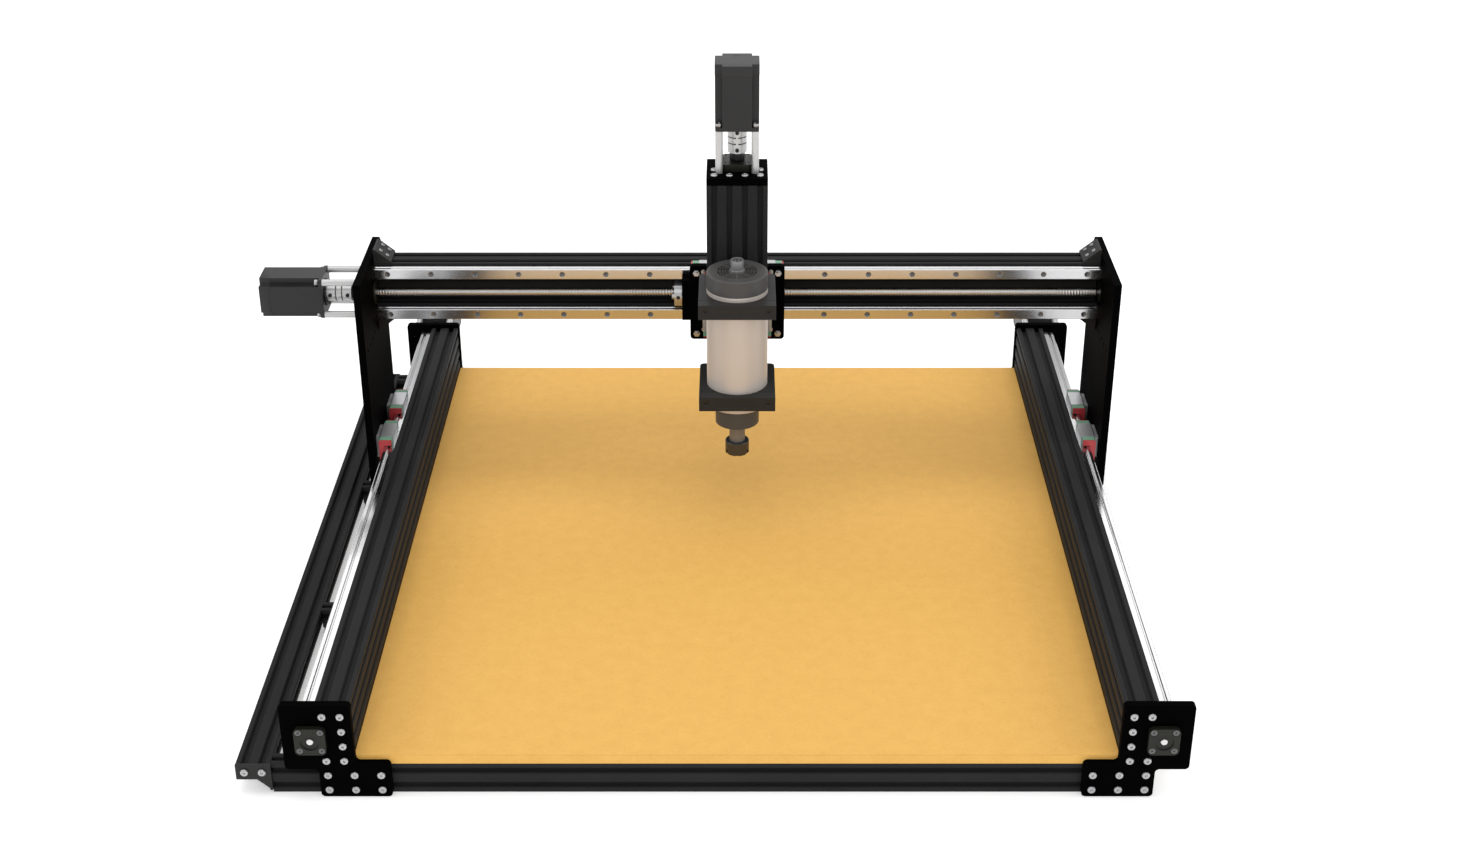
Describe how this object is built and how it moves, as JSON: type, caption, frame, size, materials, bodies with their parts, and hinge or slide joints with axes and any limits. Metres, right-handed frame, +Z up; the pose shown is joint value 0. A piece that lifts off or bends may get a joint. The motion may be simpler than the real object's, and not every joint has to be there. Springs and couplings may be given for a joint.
{
  "type": "cnc router",
  "caption": "Desktop CNC router: slotted-bar frame with wood-fibre bed, moving gantry on linear rails and ball screws, Z slide and clamped router spindle.",
  "frame": {"origin": "centre of the spoilboard's top face, with the machine's feet 52 mm below it", "axes": "+X along the X axis of the machine, to the operator's right; +Y along the bed, away from the operator; +Z up out of the bed"},
  "size_m": [1.171, 1.167, 0.6535],
  "materials": {
    "black_extrusion": "black anodised, satin",
    "black_plate": "black anodised, fine matt",
    "rail_steel": "ground",
    "block_steel": "ground",
    "block_cap": "moulded",
    "block_seal": "moulded",
    "bearing_housing": "black oxide",
    "screw_steel": "ground",
    "fastener_steel": "bright zinc",
    "bare_aluminium": "satin",
    "motor_case": "satin black",
    "mdf": "raw board",
    "spindle_shell": "bead blasted",
    "spindle_dark": "satin dark grey",
    "clamp_dark": "dark anodised",
    "winding": "varnished copper"
  },
  "bodies": {
    "frame": {"cross_beams": "black_extrusion", "y_beam_left": "black_extrusion", "y_beam_right": "black_extrusion", "spoilboard": "mdf", "front_plates": "black_plate", "rear_plates": "black_plate", "chain_bar": "black_extrusion", "chain_bar_brackets": "clamp_dark", "y_rails": "rail_steel", "frame_screws": "fastener_steel", "y_screw_bearings": "bearing_housing", "y_motors": "motor_case", "y_motor_standoffs": "bare_aluminium"},
    "y_drive_train_left": {"y_screw_left": "screw_steel", "y_drive_left": "bare_aluminium"},
    "y_drive_train_right": {"y_screw_right": "screw_steel", "y_drive_right": "bare_aluminium"},
    "gantry": {"gantry_plate_left": "black_plate", "gantry_plate_right": "black_plate", "x_beam": "black_extrusion", "x_rails": "rail_steel", "gantry_brackets": "clamp_dark", "gantry_screws": "fastener_steel", "y_blocks": "block_steel", "y_block_caps": "block_cap", "y_block_seals": "block_seal", "y_ball_nuts": "block_steel", "y_nut_mounts": "black_plate", "x_motor": "motor_case", "x_motor_standoffs": "bare_aluminium", "x_screw_bearings": "bearing_housing"},
    "x_drive_train": {"x_screw": "screw_steel", "x_drive": "bare_aluminium"},
    "carriage": {"carriage_plate": "black_plate", "carriage_bolts": "fastener_steel", "carriage_blocks": "block_steel", "carriage_block_caps": "block_cap", "carriage_block_seals": "block_seal", "nut_plates": "black_plate", "carriage_ball_nuts": "block_steel"},
    "z_slide": {"z_beam": "black_extrusion", "z_rails": "rail_steel", "z_end_plates": "black_plate", "z_motor": "motor_case", "z_motor_standoffs": "bare_aluminium", "z_screw_bearings": "bearing_housing", "clamp_backs": "clamp_dark", "clamp_fronts": "clamp_dark", "z_screws": "fastener_steel", "spindle_body": "spindle_shell", "spindle_stator": "winding", "spindle_cap": "spindle_dark", "spindle_connector": "spindle_dark", "spindle_nose": "spindle_dark", "spindle_bearings": "screw_steel"},
    "z_drive_train": {"z_screw": "screw_steel", "z_drive": "bare_aluminium"},
    "rotor": {"spindle_shaft": "screw_steel", "collet": "screw_steel", "collet_nut": "spindle_dark"}
  },
  "joints": [
    {"name": "y_travel", "type": "slide", "parent": "frame", "child": "gantry", "axis": [0, 1, 0], "range_m": [-0.6, 0.19]},
    {"name": "x_travel", "type": "slide", "parent": "gantry", "child": "carriage", "axis": [1, 0, 0], "range_m": [-0.385, 0.385]},
    {"name": "z_travel", "type": "slide", "parent": "carriage", "child": "z_slide", "axis": [0, 0, 1], "range_m": [-0.085, 0.055]},
    {"name": "spindle_spin", "type": "hinge", "parent": "z_slide", "child": "rotor", "pos_m": [0, 0.062, 0.1], "axis": [0, 0, 1], "continuous": true},
    {"name": "y_screw_spin_left", "type": "hinge", "parent": "frame", "child": "y_drive_train_left", "pos_m": [-0.477, 0, 0.028], "axis": [0, 1, 0], "range_deg": [-17100, 54000]},
    {"name": "y_screw_spin_right", "type": "hinge", "parent": "frame", "child": "y_drive_train_right", "pos_m": [0.477, 0, 0.028], "axis": [0, 1, 0], "range_deg": [-17100, 54000]},
    {"name": "x_screw_spin", "type": "hinge", "parent": "gantry", "child": "x_drive_train", "pos_m": [0, 0.2184, 0.2537], "axis": [1, 0, 0], "range_deg": [-34650, 34650]},
    {"name": "z_screw_spin", "type": "hinge", "parent": "z_slide", "child": "z_drive_train", "pos_m": [0, 0.1624, 0.3], "axis": [0, 0, 1], "range_deg": [-7650, 4950]}
  ],
  "couplings": [
    {"joint": "y_screw_spin_left", "follows": "y_travel", "rad_per_m": -1570.8},
    {"joint": "y_screw_spin_right", "follows": "y_travel", "rad_per_m": -1570.8},
    {"joint": "x_screw_spin", "follows": "x_travel", "rad_per_m": -1570.8},
    {"joint": "z_screw_spin", "follows": "z_travel", "rad_per_m": 1570.8}
  ]
}
